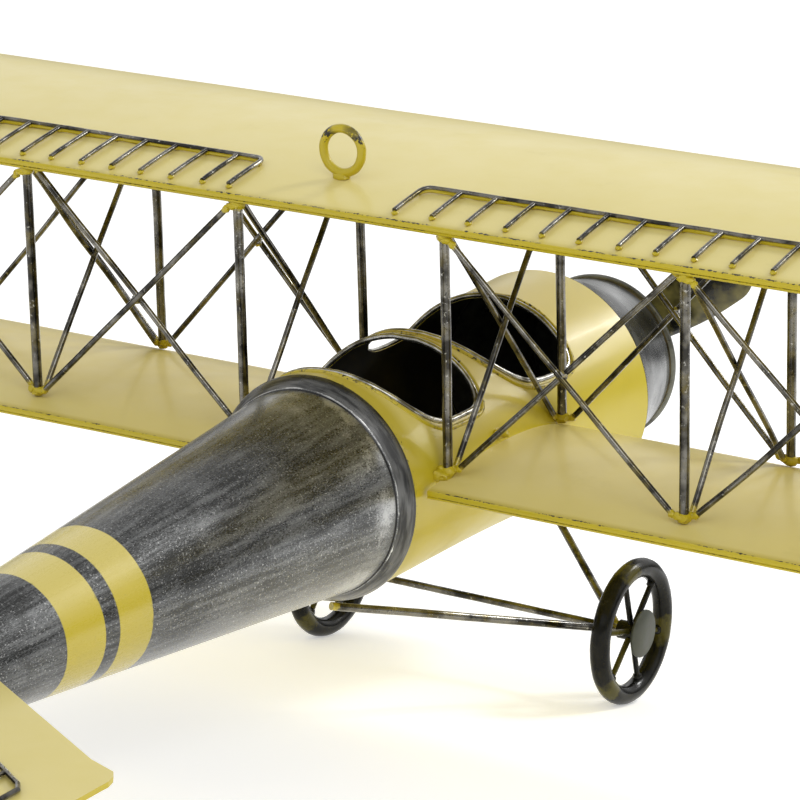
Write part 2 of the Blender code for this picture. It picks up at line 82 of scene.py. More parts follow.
# ---------------------------------------------------------------- mesh tools
def bernstein(t):
    """Weights of a cubic Bezier curve's four points."""
    s = 1 - t
    return (s ** 3, 3 * s * s * t, 3 * s * t * t, t ** 3)


def camber_height(camber, y):
    """Height of a camber line's Bezier curve at y."""
    low, high = 0.0, 1.0
    for _ in range(40):
        t = (low + high) / 2
        here = sum(w * p[0] for w, p in zip(bernstein(t), camber))
        low, high = (t, high) if here > y else (low, t)
    return sum(w * p[1] for w, p in zip(bernstein(low), camber))


def wobble(*seed):
    """A smooth repeatable number from -1 to 1."""
    return noise.noise(Vector(seed))


def circle(count):
    """Angles of count points spread evenly round a circle."""
    return np.linspace(0, 2 * math.pi, count, endpoint=False)


def new_piece(name, mesh, mats, body="airframe", replaces=()):
    """Links a level-frame mesh as a piece of the model."""
    mesh.shade_smooth()
    mesh.set_sharp_from_angle(angle=SHARP_ANGLE)
    for mat in mats if isinstance(mats, (list, tuple)) else [mats]:
        mesh.materials.append(mat)
    obj = bpy.data.objects.new(name, mesh)
    bpy.context.scene.collection.objects.link(obj)
    obj.matrix_world = LEVEL
    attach(obj, body)
    if replaces:
        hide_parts(*replaces)
    return obj


class Mesh:
    """Gathers vertices, faces, material indices and the two masks that the materials read."""

    def __init__(self):
        self.verts, self.faces, self.mats = [], [], []
        self.line, self.rich = [], []

    def vert(self, p, line=0.0, rich=0.0):
        self.verts.append(tuple(p))
        self.line.append(line)
        self.rich.append(rich)
        return len(self.verts) - 1

    def face(self, indices, mat=0):
        self.faces.append(tuple(indices))
        self.mats.append(mat)

    def loft(self, rings, caps=True, mat=0):
        """Skins between rings of vertex indices of equal length."""
        n = len(rings[0])
        for a, b in zip(rings, rings[1:]):
            for i in range(n):
                j = (i + 1) % n
                self.face((a[i], a[j], b[j], b[i]), mat)
        if caps:
            self.face(rings[0], mat)
            self.face(rings[-1], mat)

    def build(self, name):
        """The gathered faces as a Blender mesh, all facing outward."""
        mesh = bpy.data.meshes.new(name)
        mesh.from_pydata(self.verts, [], self.faces)
        mesh.polygons.foreach_set("material_index", self.mats)
        for key, values in (("line", self.line), ("rich", self.rich)):
            mesh.attributes.new(key, "FLOAT", "POINT").data.foreach_set("value", values)
        work = bmesh.new()
        work.from_mesh(mesh)
        bmesh.ops.recalc_face_normals(work, faces=work.faces)
        work.to_mesh(mesh)
        work.free()
        return mesh


def along(points, step):
    """The same path with points about a step apart."""
    points = [Vector(p) for p in points]
    result = [points[0]]
    for a, b in zip(points, points[1:]):
        count = max(1, round((b - a).length / step))
        result += [a.lerp(b, i / count) for i in range(1, count + 1)]
    return result


def add_tube(mesh, points, radius, sides=12, cyclic=False, ends=0.0, rough=0.05, seed=0.0,
             line=0.0, rich=0.0, under=False):
    """A wire swept along points, a little uneven like hand work.

    ends is the length near each end over which the "rich" mask falls from 1 to rich, and under
    raises that mask along the lower side, where paint has crept up.
    """
    points = [Vector(p) for p in points]
    n = len(points)
    length = [0.0]
    for a, b in zip(points, points[1:]):
        length.append(length[-1] + (b - a).length)
    rings, side = [], None
    for i, p in enumerate(points):
        before = points[(i - 1) % n] if cyclic or i else p
        after = points[(i + 1) % n] if cyclic or i < n - 1 else p
        tangent = (after - before).normalized()
        if side is None:
            side = tangent.orthogonal().normalized()
        side = (side - tangent * side.dot(tangent)).normalized()
        up = tangent.cross(side)
        spray_and_sheen = rich
        if ends:
            near = min(length[i], length[-1] - length[i]) / ends
            spray_and_sheen = max(rich, 1 - near)
        ring = []
        for k in range(sides):
            a = 2 * math.pi * k / sides
            out = side * math.cos(a) + up * math.sin(a)
            dent = wobble(p.x * 260 + out.x + seed, p.y * 260 + out.y, p.z * 260 + out.z)
            r = radius * (1 + rough * dent)
            below = min(1.0, max(0.0, 0.30 - out.z * 1.8)) if under else 0.0
            ring.append(mesh.vert(p + out * r, line, max(spray_and_sheen, below)))
        rings.append(ring)
    if cyclic:
        twist = min(range(sides), key=lambda s: sum(
            (Vector(mesh.verts[rings[-1][(k + s) % sides]]) - Vector(mesh.verts[rings[0][k]])).length
            for k in range(0, sides, 3)))
        first = [rings[0][(k - twist) % sides] for k in range(sides)]
        mesh.loft(rings + [first], caps=False)
    else:
        mesh.loft(rings)


def add_blob(mesh, centre, size, seed=0.0, rough=0.25, rich=0.0, level=2):
    """A lump of weld or solder: a ball pushed in and out, its three half sizes in size."""
    work = bmesh.new()
    bmesh.ops.create_icosphere(work, subdivisions=level, radius=1)
    centre = Vector(centre)
    size = Vector(size)
    index = {}
    for v in work.verts:
        d = v.co.normalized()
        r = 1 + rough * wobble(d.x * 1.7 + seed * 7.3, d.y * 1.7 + seed, d.z * 1.7) \
            + rough * 0.4 * wobble(d.x * 4 + seed, d.y * 4, d.z * 4 + seed * 3)
        place = centre + Vector((d.x * size.x, d.y * size.y, d.z * size.z)) * r
        index[v.index] = mesh.vert(place, 0, rich)
    for f in work.faces:
        mesh.face([index[v.index] for v in f.verts])
    work.free()


def add_lathe(mesh, profile, steps=96, closed=True, mat=0, centre=None):
    """Turns (radius, y, line, rich) points round the Y axis, or round a line that centre(y) raises.

    A point on the axis is shared by all the steps, and line and rich are 0 where they are left out.
    """
    profile = [(*point, 0, 0)[:4] for point in profile]
    rings = []
    for k in range(steps):
        a = 2 * math.pi * k / steps
        turned = []
        for i, (r, y, line, rich) in enumerate(profile):
            lift = centre(y) if centre else 0
            place = (r * math.sin(a), y, r * math.cos(a) + lift)
            turned.append(mesh.vert(place, line, rich) if r > 0 or k == 0 else rings[0][i])
        rings.append(turned)
    n = len(profile)
    for k in range(steps):
        a, b = rings[k], rings[(k + 1) % steps]
        for i in range(n if closed else n - 1):
            j = (i + 1) % n
            face = []
            for v in (a[i], a[j], b[j], b[i]):
                if v not in face:
                    face.append(v)
            if len(face) > 2:
                mesh.face(face, mat)


def rod_ends(node):
    """The two ends of a straight CAD rod, in the level frame."""
    points = np.array([tuple(TO_LEVEL @ v.co) for v in frame["nodes"][node].data.vertices])
    centre = points.mean(axis=0)
    direction = np.linalg.svd(points - centre)[2][0]
    along_rod = (points - centre) @ direction
    low = points[along_rod < along_rod.min() + 0.0003].mean(axis=0)
    high = points[along_rod > along_rod.max() - 0.0003].mean(axis=0)
    return (Vector(low), Vector(high)) if low[2] < high[2] else (Vector(high), Vector(low))


# ---------------------------------------------------------------- materials
class Nodes:
    """Short hand for building a node material in level-frame coordinates."""

    def __init__(self, name, **values):
        self.mat = bpy.data.materials.new(name)
        self.mat.use_nodes = True
        self.tree = self.mat.node_tree
        self.shader = self.tree.nodes["Principled BSDF"]
        for key, value in values.items():
            self.shader.inputs[key.replace("_", " ")].default_value = value
        place = self.tree.nodes.new("ShaderNodeTexCoord")
        self.coords, self.normals = place.outputs["Object"], place.outputs["Normal"]

    def wire(self, target, value):
        """Feeds a socket with another node's output or with a constant."""
        if isinstance(value, bpy.types.NodeSocket):
            self.tree.links.new(value, target)
        elif value is not None:
            if target.type == "RGBA" and len(value) == 3:
                value = (*value, 1)
            target.default_value = value

    def noise(self, scale, detail=3, rough=0.55, vector=None):
        node = self.tree.nodes.new("ShaderNodeTexNoise")
        node.inputs["Scale"].default_value = scale
        node.inputs["Detail"].default_value = detail
        node.inputs["Roughness"].default_value = rough
        self.wire(node.inputs["Vector"], vector or self.coords)
        return node.outputs["Fac"]

    def math(self, op, a, b=None):
        node = self.tree.nodes.new("ShaderNodeMath")
        node.operation = op
        for socket, value in zip(node.inputs, (a, b)):
            self.wire(socket, value)
        return node.outputs[0]

    def ramp(self, value, low, high, a=0.0, b=1.0):
        """Carries low to high onto a to b, held at both ends."""
        node = self.tree.nodes.new("ShaderNodeMapRange")
        node.inputs["From Min"].default_value = low
        node.inputs["From Max"].default_value = high
        node.inputs["To Min"].default_value = a
        node.inputs["To Max"].default_value = b
        self.wire(node.inputs["Value"], value)
        return node.outputs["Result"]

    def mix(self, fac, a, b):
        """Colour a where fac is 0 and b where it is 1."""
        node = self.tree.nodes.new("ShaderNodeMix")
        node.data_type = "RGBA"
        self.wire(node.inputs[0], fac)
        self.wire(node.inputs[6], a)
        self.wire(node.inputs[7], b)
        return node.outputs[2]

    def attribute(self, name):
        node = self.tree.nodes.new("ShaderNodeAttribute")
        node.attribute_name = name
        return node.outputs["Fac"]

    def split(self, vector):
        node = self.tree.nodes.new("ShaderNodeSeparateXYZ")
        self.wire(node.inputs[0], vector)
        return node.outputs

    def join(self, x, y, z):
        node = self.tree.nodes.new("ShaderNodeCombineXYZ")
        for socket, value in zip(node.inputs, (x, y, z)):
            self.wire(socket, value)
        return node.outputs[0]

    def bump(self, height, distance, strength=1.0):
        node = self.tree.nodes.new("ShaderNodeBump")
        node.inputs["Distance"].default_value = distance
        node.inputs["Strength"].default_value = strength
        self.wire(node.inputs["Height"], height)
        self.wire(self.shader.inputs["Normal"], node.outputs["Normal"])

    def set(self, **values):
        """Feeds the shader's sockets and hands back the material."""
        for key, value in values.items():
            self.wire(self.shader.inputs[key.replace("_", " ")], value)
        return self.mat


YELLOW_BASE = (0.560, 0.455, 0.022)
YELLOW_DEEP = (0.500, 0.395, 0.018)
# painted sheen: a cream that stands for the pale reflection of the bright sky on upward faces
PAINTED_SHEEN = (0.715, 0.615, 0.245)
RICH_YELLOW = (0.470, 0.370, 0.012)
CHIP = (0.016, 0.014, 0.010)
SEAM_BLACK = (0.006, 0.006, 0.006)
# bare metal at the cone's seam, and a painted highlight beside the cowl's seam
BARE_EDGE_AND_HIGHLIGHT = (0.80, 0.80, 0.77)
# the two painted bands on the cone: middle and half width along the body
CONE_BANDS = ((0.18025, 0.00875), (0.2070, 0.0100))
BAND_SOFTNESS, BAND_RIM = 0.0003, 0.0009


def yellow_paint(name, richness=0.0):
    """Lemon satin paint: painted sheen in cream on upward faces, richer on hems and welds, black where worn.
    """
    n = Nodes(name, Roughness=0.36, Specular_IOR_Level=0.38, Coat_Weight=0.15, Coat_Roughness=0.12)
    facing = n.split(n.normals)[2]
    cloud = n.noise(11, 4)
    base = n.mix(n.ramp(cloud, 0.35, 0.68), YELLOW_BASE, YELLOW_DEEP)
    # painted sheen: upward faces are mixed towards cream, a little less where the clouds are high
    spray_and_sheen = n.math("MULTIPLY", n.ramp(facing, 0.30, 0.95), n.ramp(cloud, 0.30, 0.70, 0.95, 0.75))
    base = n.mix(spray_and_sheen, base, PAINTED_SHEEN)
    rich = n.math("MAXIMUM", n.attribute("rich"), richness)
    base = n.mix(rich, base, RICH_YELLOW)
    grime = n.ramp(n.noise(45, 5, 0.65), 0.60, 0.80, 0, 0.14)
    base = n.mix(grime, base, (0.33, 0.26, 0.04))
    line = n.attribute("line")
    chip = n.ramp(n.math("ADD", n.math("MULTIPLY", line, 0.40), n.noise(620, 3, 0.7)), 0.77, 0.83)
    rubbed = n.ramp(n.noise(60, 2, 0.5), 0.40, 0.50)
    chip = n.math("MULTIPLY", chip, rubbed)
    specks = n.ramp(n.noise(520, 2, 0.5), 0.83, 0.86)
    chip = n.math("MAXIMUM", chip, specks)
    base = n.mix(chip, base, CHIP)
    n.bump(n.noise(22, 2), 0.0006, 0.30)
    return n.set(Base_Color=base, Roughness=n.ramp(n.noise(60, 3), 0.3, 0.7, 0.30, 0.42))


def dark_wire(name):
    """Smooth blackened wire with a few silver rubs, and yellow overspray near its welded ends."""
    n = Nodes(name, Metallic=0.9, Roughness=0.3, Coat_Weight=0.45, Coat_Roughness=0.08)
    broad = n.noise(70, 3, 0.6)
    fine = n.noise(520, 4, 0.65)
    base = n.mix(n.ramp(broad, 0.42, 0.58), (0.016, 0.014, 0.010), (0.180, 0.170, 0.145))
    base = n.mix(n.ramp(n.noise(110, 3, 0.6), 0.52, 0.66, 0, 0.55), base, (0.150, 0.118, 0.030))
    base = n.mix(n.ramp(fine, 0.61, 0.69, 0, 0.8), base, (0.50, 0.49, 0.45))
    base = n.mix(n.ramp(n.noise(800, 3, 0.6), 0.62, 0.67, 0, 0.9), base, (0.010, 0.009, 0.008))
    spray = n.math("ADD", n.attribute("rich"), n.math("MULTIPLY", n.noise(190, 4, 0.7), 0.9))
    sprayed = n.ramp(spray, 1.16, 1.34)
    base = n.mix(sprayed, base, RICH_YELLOW)
    metal = n.math("SUBTRACT", 0.9, n.math("MULTIPLY", sprayed, 0.9))
    n.bump(fine, 0.00015, 0.4)
    return n.set(Base_Color=base, Metallic=metal, Roughness=n.ramp(broad, 0.3, 0.7, 0.14, 0.28))


def solder(name):
    """Bright solder, tarnished and stained with paint in patches."""
    n = Nodes(name, Metallic=0.9, Roughness=0.25)
    base = n.mix(n.ramp(n.noise(500, 3), 0.45, 0.62), (0.42, 0.41, 0.37), (0.05, 0.045, 0.035))
    base = n.mix(n.ramp(n.noise(210, 3), 0.55, 0.62), base, RICH_YELLOW)
    n.bump(n.noise(700, 3), 0.0004, 0.5)
    return n.set(Base_Color=base)


def banded_cone(name):
    """Dark steel dry-brushed with silver lengthways, a smooth darker collar and two painted bands with a
    painted sheen on top.
    """
    n = Nodes(name, Metallic=0.72, Roughness=0.3, Coat_Weight=0.55, Coat_Roughness=0.20)
    x, y, z = n.split(n.coords)[:3]
    around = n.math("MULTIPLY", n.math("ARCTAN2", x, z), 0.045)
    long = n.noise(330, 4, 0.62, n.join(around, n.math("MULTIPLY", y, 0.11), 0.0))
    grain = n.noise(1900, 2, 0.7, n.join(around, n.math("MULTIPLY", y, 0.40), 0.0))
    cloud = n.noise(30, 4, 0.6)
    near_seam = n.ramp(y, SEAM_Y + 0.030, SEAM_Y + 0.003)
    strokes = n.math("ADD", n.math("MULTIPLY", long, 0.50), n.math("MULTIPLY", grain, 0.50))
    strokes = n.math("ADD", strokes, n.math("MULTIPLY", n.math("SUBTRACT", cloud, 0.5), 0.30))
    strokes = n.math("ADD", strokes, n.math("MULTIPLY", near_seam, 0.09))
    base = n.mix(n.ramp(strokes, 0.44, 0.64), (0.014, 0.015, 0.014), (0.185, 0.190, 0.190))
    base = n.mix(n.ramp(n.noise(90, 4, 0.7), 0.56, 0.70, 0, 0.7), base, (0.026, 0.027, 0.025))
    scraped = n.math("MULTIPLY", n.ramp(y, SEAM_Y + 0.026, SEAM_Y + 0.006),
                     n.ramp(n.math("ADD", n.noise(48, 4, 0.65), n.math("MULTIPLY", grain, 0.25)), 0.60, 0.74))
    base = n.mix(scraped, base, (0.46, 0.465, 0.46))
    flecks = n.ramp(n.noise(1300, 2, 0.5), 0.63, 0.69, 0, 0.7)
    base = n.mix(flecks, base, (0.50, 0.50, 0.49))
    hoop = n.noise(500, 3, 0.6, n.join(n.math("MULTIPLY", around, 0.12), y, 0.0))
    collar = n.mix(n.ramp(hoop, 0.42, 0.62), (0.028, 0.028, 0.027), (0.120, 0.120, 0.115))
    base = n.mix(n.ramp(y, SEAM_Y, SEAM_Y - 0.0004), base, collar)
    seam = n.ramp(n.math("ADD", n.attribute("line"), n.math("MULTIPLY", n.noise(140, 3), 0.6)), 0.95, 1.10)
    base = n.mix(seam, base, SEAM_BLACK)
    bright = n.ramp(n.math("ADD", n.attribute("rich"), n.noise(160, 3)), 1.46, 1.56)
    base = n.mix(bright, base, BARE_EDGE_AND_HIGHLIGHT)
    edge = n.math("ADD", y, n.math("MULTIPLY", n.math("SUBTRACT", n.noise(60, 2), 0.5), 0.0009))
    band, rim = None, None
    for middle, half in CONE_BANDS:
        away = n.math("ABSOLUTE", n.math("SUBTRACT", edge, middle))
        inside = n.ramp(away, half, half + BAND_SOFTNESS, 1, 0)
        near_edge = n.ramp(away, half - BAND_RIM, half)
        band = inside if band is None else n.math("MAXIMUM", band, inside)
        rim = near_edge if rim is None else n.math("MULTIPLY", rim, near_edge)
    rubbed = n.ramp(n.math("ADD", n.noise(130, 4, 0.7), n.math("MULTIPLY", rim, 0.12)), 0.66, 0.74, 0, 0.55)
    paint = n.mix(n.ramp(n.noise(20, 3), 0.35, 0.65), RICH_YELLOW, YELLOW_DEEP)
    # painted sheen: the bands are mixed towards cream on upward faces
    paint = n.mix(n.ramp(n.split(n.normals)[2], 0.35, 1.0, 0, 0.55), paint, PAINTED_SHEEN)
    base = n.mix(band, base, n.mix(rubbed, paint, (0.17, 0.14, 0.03)))
    metal = n.math("SUBTRACT", 0.72, n.math("MULTIPLY", band, 0.72))
    n.bump(n.math("ADD", grain, n.math("MULTIPLY", cloud, 2.0)), 0.00025, 0.22)
    return n.set(Base_Color=base, Metallic=metal, Roughness=n.ramp(strokes, 0.4, 0.7, 0.24, 0.36))


def nose_steel(name):
    """Steel of the engine cowl: smooth, blackened in clouds, brushed round the axis, with a painted highlight
    beside the seam.
    """
    n = Nodes(name, Metallic=0.95, Roughness=0.26)
    x, y, z = n.split(n.coords)[:3]
    hoop = n.noise(600, 3, 0.6, n.join(n.math("MULTIPLY", n.math("ARCTAN2", x, z), 0.005), y, 0.0))
    base = n.mix(n.ramp(n.noise(26, 3, 0.5), 0.38, 0.62), (0.070, 0.072, 0.070), (0.330, 0.335, 0.330))
    base = n.mix(n.ramp(hoop, 0.45, 0.66, 0, 0.45), base, (0.10, 0.10, 0.10))
    line = n.ramp(n.math("ADD", n.attribute("line"), n.math("MULTIPLY", n.noise(140, 3), 0.6)), 0.95, 1.10)
    base = n.mix(line, base, SEAM_BLACK)
    # painted highlight: a pale line beside the seam, where the rich mask is high
    bright = n.ramp(n.math("ADD", n.attribute("rich"), n.noise(160, 3)), 1.30, 1.45)
    base = n.mix(bright, base, BARE_EDGE_AND_HIGHLIGHT)
    n.bump(hoop, 0.0001, 0.2)
    return n.set(Base_Color=base, Roughness=n.ramp(n.noise(60, 3), 0.3, 0.7, 0.20, 0.32))


def plain_metal(name, dark, light, metallic, roughness, scale=160, tint=RICH_YELLOW, gloss=0.5, spread=0.28):
    """Clouds from dark to light, with the tint where the "rich" mask is high."""
    n = Nodes(name, Metallic=metallic, Roughness=roughness, Specular_IOR_Level=gloss)
    base = n.mix(n.ramp(n.noise(scale, 4, 0.6), 0.52 - spread / 2, 0.52 + spread / 2), dark, light)
    rich = n.ramp(n.math("ADD", n.attribute("rich"), n.math("MULTIPLY", n.noise(190, 4), 0.8)), 0.98, 1.15)
    base = n.mix(rich, base, tint)
    n.bump(n.noise(scale * 3, 3), 0.0002, 0.3)
    gloss_clouds = n.ramp(n.noise(scale, 3), 0.3, 0.7, roughness - 0.08, roughness + 0.1)
    return n.set(Base_Color=base, Roughness=gloss_clouds)


COWL_STEEL = nose_steel("cowl_steel")
LIP_METAL = plain_metal("lip_metal", (0.10, 0.10, 0.085), (0.20, 0.20, 0.165), 0.7, 0.32, 90)
YELLOW = yellow_paint("yellow_paint")
YELLOW_RICH = yellow_paint("yellow_paint_rich", 0.85)
INSIDE = plain_metal("dark_inside", (0.012, 0.011, 0.007), (0.030, 0.026, 0.010), 0.0, 0.75, 60)
WIRE = dark_wire("dark_wire")
SOLDER = solder("solder")
CONE = banded_cone("brushed_gunmetal_banded")
WORN = plain_metal("worn_silver_rim", (0.13, 0.12, 0.09), (0.66, 0.65, 0.60), 0.9, 0.20, 120)
OLIVE = (0.070, 0.062, 0.012)
WHEEL_METAL = plain_metal("wheel_metal", (0.005, 0.005, 0.004), (0.013, 0.013, 0.010), 0.0, 0.20,
                          120, OLIVE, 0.16)
HUB_METAL = plain_metal("hub_metal", (0.036, 0.040, 0.026), (0.056, 0.060, 0.043), 0.0, 0.42,
                        160, OLIVE, 0.35)
# painted shade: dark gold for the shade in the cowl's groove and the yellow it reflects
GROOVE_SHADE = plain_metal("groove_painted_shade", (0.035, 0.026, 0.006), (0.130, 0.095, 0.025), 0.4, 0.35, 120)
PROP_PAINT = plain_metal("propeller_paint", (0.005, 0.005, 0.003), (0.170, 0.150, 0.045), 0.0, 0.14,
                         30, OLIVE, 0.5, 0.12)


# ---------------------------------------------------------------- wings
def wing_section(camber, y_te, y_le):
    """A closed chordwise section as (y, z, line, rich) points."""
    points = []
    count = 34
    top = [y_te - 0.0003 + (y_le - y_te + 0.0003) * (1 - math.cos(math.pi * i / count)) / 2
           for i in range(count + 1)]
    for i, y in enumerate(top):
        near_te, near_le = y_te - y, y - y_le
        line = 0.8 if near_te < 0.0008 else (0.55 if near_le < 0.0004 else 0.0)
        rich = max(0.0, 1 - near_te / 0.004) * 0.8 + max(0.0, 1 - near_le / 0.003) * 0.3
        points.append((y, camber_height(camber, y), line, min(1, rich)))
    lead = camber_height(camber, y_le)
    points += [(y_le - 0.0005, lead - 0.0004, 0.3, 0.5), (y_le - 0.0005, lead - SHEET + 0.0004, 0.6, 0.5)]
    hem = y_te - HEM_WIDTH
    for i in range(count // 2 + 1):
        y = y_le + (hem - 0.0004 - y_le) * i / (count // 2)
        points.append((y, camber_height(camber, y) - SHEET, 0, 0.2))
    base = camber_height(camber, y_te)
    points += [(hem, base - HEM_DEPTH + 0.0003, 0.5, 1), (hem + 0.0006, base - HEM_DEPTH, 0.6, 1),
               (y_te - 0.0006, base - HEM_DEPTH, 0.5, 1), (y_te - 0.0001, base - HEM_DEPTH + 0.0004, 0.2, 1),
               (y_te, base - 0.66 * HEM_DEPTH - 0.0003, 0.1, 1),
               (y_te - 0.00035, base - 0.66 * HEM_DEPTH, 0.95, 1),
               (y_te, base - 0.66 * HEM_DEPTH + 0.0003, 0.1, 1),
               (y_te + 0.0001, base - 0.0012, 0, 1), (y_te, base - 0.0004, 0.2, 1)]
    return points


def wing(name, camber, root, tip, corner, side=1):
    """A cambered skin with rounded outer corners: from tip to tip, or one panel if root is given."""
    mesh = Mesh()
    y_te, y_le = camber[0][0], camber[3][0]
    turn = [math.pi / 2 * i / 12 for i in range(13)]
    outer = [(tip - corner + corner * math.sin(a), corner * (1 - math.cos(a))) for a in turn]
    start = -tip + corner if root is None else root
    spans = round((tip - corner - start) / 0.006)
    middle = [(start + (tip - corner - start) * i / spans, 0) for i in range(1 if root is None else 0, spans)]
    inner = [(-x, inset) for x, inset in reversed(outer)] if root is None else []
    rings = []
    for x, inset in inner + middle + outer:
        ring = []
        edge = max(0.0, 1 - (tip - abs(x)) / 0.0012)
        for y, z, line, rich in wing_section(camber, y_te - inset, y_le + inset):
            wave = 0.00018 * wobble(x * 14, y * 18, 3.0 if root is None else 9.0 * side)
            ring.append(mesh.vert((side * x, y, z + wave), max(line, 0.5 * edge), max(rich, 0.5 * edge)))
        rings.append(ring)
    mesh.loft(rings)
    return new_piece(name + "_skin", mesh.build(name), YELLOW, replaces=[name])


wing("upper_wing", UPPER_CAMBER, None, UPPER_HALF_SPAN, UPPER_CORNER)
wing("lower_wing_left", LOWER_CAMBER, LOWER_ROOT, LOWER_HALF_SPAN, LOWER_CORNER, 1)
wing("lower_wing_right", LOWER_CAMBER, LOWER_ROOT, LOWER_HALF_SPAN, LOWER_CORNER, -1)


# ---------------------------------------------------------------- struts and wires
def wire_piece(node, radius, bend, ends):
    """A hand-bent wire between the ends of a straight CAD rod, up to about bend off the line."""
    low, high = rod_ends(node)
    seed = sum(ord(c) * (i + 1) for i, c in enumerate(node)) % 97
    path = along([low, high], 0.006)
    axis = (high - low).normalized()
    sway = axis.orthogonal().normalized()
    other = axis.cross(sway)
    bent = []
    for i, p in enumerate(path):
        t = i / (len(path) - 1)
        arch = math.sin(math.pi * t)
        off = sway * wobble(seed * 1.7, t * 2.2, 0) + other * wobble(seed * 2.9, t * 2.2, 5)
        bent.append(p + off * bend * arch)
    mesh = Mesh()
    add_tube(mesh, bent, radius, 14, ends=ends, rough=0.06, seed=seed)
    return new_piece(node + "_rod", mesh.build(node), WIRE, replaces=[node])


for side in ("left", "right"):
    for row in ("rear", "front"):
        for number in (1, 2, 3):
            wire_piece(f"strut_{row}_{side}_{number}", STRUT_R, 0.0004, 0.010)
        for bay in (1, 2):
            for which in "ab":
                wire_piece(f"wire_{row}_{side}_{bay}{which}", WIRE_R, 0.0012, 0.012)
    for number in (1, 2):
        for which in "ab":
            wire_piece(f"wire_side_{side}_{number}{which}", WIRE_R, 0.0010, 0.012)
    wire_piece(f"leg_front_{side}", LEG_R, 0.0006, 0.012)
    wire_piece(f"leg_rear_{side}", LEG_R, 0.0010, 0.010)
wire_piece("cross_axle", AXLE_R, 0.0, 0.0)


# ---------------------------------------------------------------- body
def cockpit_outline(front, lowest, rear, floor, front_power, rear_power, count=90):
    """The cut's lower edge in side view: (y, z) from front to rear."""
    top = BODY_R + 0.0012
    points = []
    for end, power, shares in ((front, front_power, np.linspace(1, 0, count)),
                               (rear, rear_power, np.linspace(0, 1, count)[1:])):
        points += [(lowest + (end - lowest) * s, floor + (top - floor) * s ** power) for s in shares]
    return points


# front, lowest and rear places, floor height, then how steeply the front and rear edges fall
COCKPITS = {"rear": (-0.0460, -0.0250, 0.0110, 0.0244, 7, 3),
            "front": (-0.1165, -0.0980, -0.0530, 0.0232, 6, 3)}
FLARE_START = 0.0150
BAYS, ROUND = 30, 128


def flare(y):
    """How much wider the body is at y than at its rear."""
    return BODY_FLARE * max(0, (FLARE_START - y) / (FLARE_START - BODY_FRONT)) ** FLARE_POWER


def body_centre(y):
    return NOSE_Z * flare(y) / BODY_FLARE


def body_radius(y):
    return BODY_R + flare(y)


body_mesh = Mesh()
STATIONS = [BODY_FRONT + (BODY_REAR - BODY_FRONT) * i / BAYS for i in range(BAYS + 1)]
outer_side = [(body_radius(y), y, 0.62 if i == BAYS else 0, 0.8 if i in (BAYS - 1, BAYS) else 0)
              for i, y in reversed(list(enumerate(STATIONS)))]
inner_side = [(body_radius(y) - BODY_WALL, y) for y in STATIONS]
add_lathe(body_mesh, outer_side + inner_side, ROUND, centre=body_centre)
for i, face in enumerate(body_mesh.faces):
    radii = [math.hypot(body_mesh.verts[v][0], body_mesh.verts[v][2] - body_centre(body_mesh.verts[v][1]))
             - body_radius(body_mesh.verts[v][1]) for v in face]
    if max(radii) < -0.001:
        body_mesh.mats[i] = 1
body = new_piece("fuselage_body_shell", body_mesh.build("body"), [YELLOW, INSIDE],
                 replaces=["fuselage_body"])
for key, spec in COCKPITS.items():
    outline = cockpit_outline(*spec)
    outline += [(spec[2] + 0.002, BODY_R + 0.02), (spec[0] - 0.001, BODY_R + 0.02)]
    cutter = Mesh()
    cutter.loft([[cutter.vert((x, y, z)) for y, z in outline] for x in (-0.07, 0.07)])
    obj = bpy.data.objects.new(key + "_cutter", cutter.build(key))
    bpy.context.scene.collection.objects.link(obj)
    obj.matrix_world = LEVEL
    cut = body.modifiers.new(key, "BOOLEAN")
    cut.object, cut.operation, cut.solver = obj, "DIFFERENCE", "EXACT"
    bpy.context.view_layer.update()
    cut_mesh = bpy.data.meshes.new_from_object(body.evaluated_get(bpy.context.evaluated_depsgraph_get()))
    body.modifiers.clear()
    body.data = cut_mesh
    bpy.data.objects.remove(obj, do_unlink=True)
body.data.set_sharp_from_angle(angle=math.radians(30))


def rim_path(spec):
    """The closed line where a cockpit's edge meets the body's skin, with points 2 mm apart."""
    half = []
    for y, z in cockpit_outline(*spec, count=400):
        across = body_radius(y) ** 2 - (z - body_centre(y)) ** 2
        if across > 0:
            half.append(Vector((math.sqrt(across), y, z)))
    loop = half + [Vector((-p.x, p.y, p.z)) for p in reversed(half)]
    path, gone = [loop[0]], 0.0
    for a, b in zip(loop, loop[1:]):
        gone += (b - a).length
        if gone >= 0.002:
            path.append(b)
            gone = 0.0
    if (path[-1] - path[0]).length < 0.001:
        path.pop()
    return path


rims = Mesh()
for spec in COCKPITS.values():
    path = [p * (1 - 0.0002 / p.length) for p in rim_path(spec)]
    add_tube(rims, path, 0.0012, 14, cyclic=True, rough=0.10, seed=spec[0] * 900)
new_piece("cockpit_rims", rims.build("rims"), WORN)

beads = Mesh()
for front, lowest, rear, base, front_power, rear_power in COCKPITS.values():
    wider = (front - 0.0025, lowest, rear + 0.0025, base - 0.0026, front_power, rear_power)
    path = [p * (1 - 0.0003 / p.length) for p in rim_path(wider)]
    add_tube(beads, path, 0.0011, 12, cyclic=True, rough=0.08, seed=front * 700, line=0.62, rich=0.7)
new_piece("cockpit_beads", beads.build("beads"), YELLOW)

